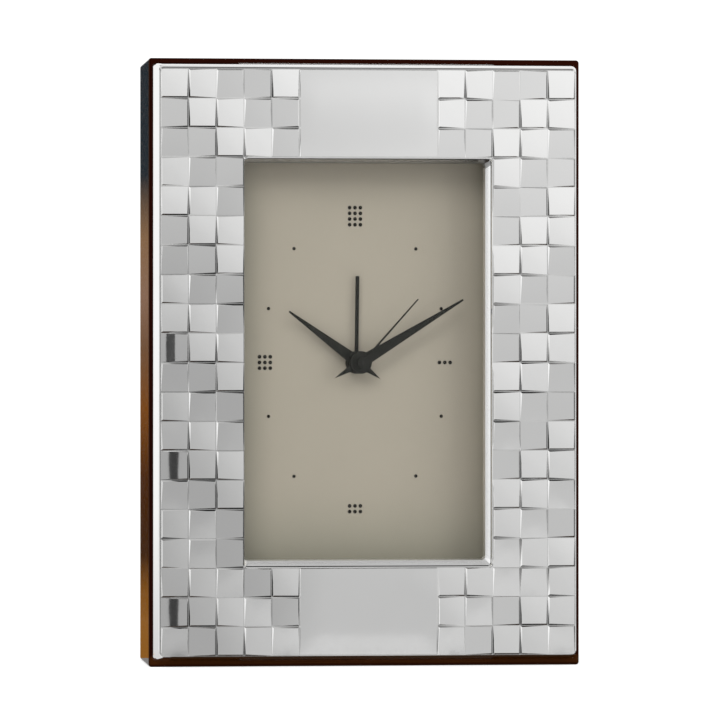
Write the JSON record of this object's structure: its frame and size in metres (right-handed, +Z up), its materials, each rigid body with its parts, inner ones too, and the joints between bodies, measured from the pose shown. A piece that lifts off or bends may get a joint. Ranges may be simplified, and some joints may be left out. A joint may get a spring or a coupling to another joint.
{
  "type": "photo frame clock",
  "caption": "Leaning photo frame clock with a silver mosaic front, a dial with four hands, a battery alarm movement and a folding wire stand.",
  "frame": {"origin": "middle of the clock's footprint, on the table", "axes": "+Z up, the dial faces -Y and leans back by 8 degrees, +X to the right of the dial"},
  "size_m": [0.1198, 0.0519, 0.1583],
  "materials": {
    "lacquered_wood": "gloss lacquer",
    "silver": "polished embossed silver sheet",
    "resin": "plain cast resin",
    "glass": "clear flat glass",
    "champagne": "satin champagne",
    "grey_card": "matt grey",
    "print": "matt black print",
    "hands": "matt black paint",
    "board": "black flocked hardboard",
    "steel": "bright steel",
    "brass": "bright brass",
    "black_plastic": "fine grained moulding",
    "white_plastic": "natural moulding",
    "magnet": "dark sintered magnet",
    "copper": "enamelled copper wire",
    "circuit": "green lacquer",
    "cell_wrap": "plain dark sleeve with bare steel ends",
    "rubber": "black tube"
  },
  "bodies": {
    "frame": {"wood_frame": "lacquered_wood", "silver_front": "silver", "front_core": "resin", "dial_glass": "glass", "glass_spacer": "grey_card", "dial": "champagne", "dial_dots": "print", "back_board": "board", "back_board_screws": "steel", "movement_case": "black_plastic", "movement_cover": "black_plastic", "movement_screws": "steel", "cover_screws": "steel", "train_plate": "white_plastic", "train_plate_screws": "steel", "stator": "steel", "coil_bobbin": "white_plastic", "coil_winding": "copper", "circuit_board": "circuit", "quartz_crystal": "steel", "circuit_chip": "black_plastic", "buzzer_disc": "brass", "battery_contact_plus": "brass", "battery_contact_minus": "brass", "alarm_contact": "brass", "stand_clips": "brass", "stand_clip_screws": "steel"},
    "second": {"second_hand": "hands", "second_wheel": "steel"},
    "rotor": {"rotor_magnet": "magnet", "rotor_pinion": "steel"},
    "intermediate": {"intermediate_wheel": "white_plastic"},
    "third": {"third_wheel": "white_plastic"},
    "centre": {"centre_wheel": "white_plastic"},
    "minute": {"minute_hand": "hands", "cannon_pinion": "brass"},
    "motion": {"motion_wheel": "white_plastic"},
    "hour": {"hour_hand": "hands", "hour_wheel": "white_plastic"},
    "time_setter": {"time_knob": "black_plastic", "setting_pinion": "white_plastic"},
    "alarm": {"alarm_hand": "hands", "alarm_wheel": "white_plastic"},
    "alarm_setter": {"alarm_knob": "black_plastic", "alarm_pinion": "white_plastic"},
    "alarm_slider": {"alarm_switch": "black_plastic"},
    "cell": {"battery": "cell_wrap"},
    "stand": {"wire_stand": "brass", "stand_sleeve": "rubber"}
  },
  "joints": [
    {"name": "second_turn", "type": "hinge", "parent": "frame", "child": "second", "pos_m": [0, 0.00064, 0.07748], "axis": [0, -0.9903, 0.1392], "continuous": true},
    {"name": "rotor_turn", "type": "hinge", "parent": "frame", "child": "rotor", "pos_m": [0.01251, 0.01253, 0.07584], "axis": [0, -0.9903, 0.1392], "continuous": true},
    {"name": "intermediate_turn", "type": "hinge", "parent": "frame", "child": "intermediate", "pos_m": [0.00724, 0.01082, 0.07801], "axis": [0, -0.9903, 0.1392], "continuous": true},
    {"name": "third_turn", "type": "hinge", "parent": "frame", "child": "third", "pos_m": [-0.0045, 0.00866, 0.08423], "axis": [0, -0.9903, 0.1392], "continuous": true},
    {"name": "centre_turn", "type": "hinge", "parent": "frame", "child": "centre", "pos_m": [0, 0.0056, 0.07679], "axis": [0, -0.9903, 0.1392], "continuous": true},
    {"name": "minute_turn", "type": "hinge", "parent": "frame", "child": "minute", "pos_m": [0, 0.00064, 0.07748], "axis": [0, -0.9903, 0.1392], "continuous": true},
    {"name": "motion_turn", "type": "hinge", "parent": "frame", "child": "motion", "pos_m": [-0.00658, 0.00427, 0.07455], "axis": [0, -0.9903, 0.1392], "continuous": true},
    {"name": "hour_turn", "type": "hinge", "parent": "frame", "child": "hour", "pos_m": [0, 0.00064, 0.07748], "axis": [0, -0.9903, 0.1392], "continuous": true},
    {"name": "time_set_turn", "type": "hinge", "parent": "frame", "child": "time_setter", "pos_m": [-0.01316, 0.01681, 0.07037], "axis": [0, -0.9903, 0.1392], "continuous": true},
    {"name": "alarm_turn", "type": "hinge", "parent": "frame", "child": "alarm", "pos_m": [0, 0.00064, 0.07748], "axis": [0, -0.9903, 0.1392], "continuous": true},
    {"name": "alarm_set_turn", "type": "hinge", "parent": "frame", "child": "alarm_setter", "pos_m": [0.00455, 0.01858, 0.08292], "axis": [0, -0.9903, 0.1392], "continuous": true},
    {"name": "alarm_switch_slide", "type": "slide", "parent": "frame", "child": "alarm_slider", "axis": [1, 0, 0], "range_m": [0, 0.003]},
    {"name": "battery_slide", "type": "slide", "parent": "frame", "child": "cell", "axis": [0, 0.9903, -0.1392], "range_m": [0, 0.02]},
    {"name": "stand_fold", "type": "hinge", "parent": "frame", "child": "stand", "pos_m": [0, 0.00831, 0.11478], "axis": [-1, 0, 0], "range_deg": [0, 16]}
  ],
  "couplings": [
    {"joint": "rotor_turn", "follows": "second_turn", "ratio": 30},
    {"joint": "intermediate_turn", "follows": "second_turn", "ratio": -5},
    {"joint": "third_turn", "follows": "second_turn", "ratio": -0.13333},
    {"joint": "centre_turn", "follows": "second_turn", "ratio": 0.016667},
    {"joint": "motion_turn", "follows": "minute_turn", "ratio": -0.33333},
    {"joint": "hour_turn", "follows": "minute_turn", "ratio": 0.083333},
    {"joint": "time_set_turn", "follows": "minute_turn", "ratio": 1},
    {"joint": "alarm_set_turn", "follows": "alarm_turn", "ratio": -1.6}
  ]
}
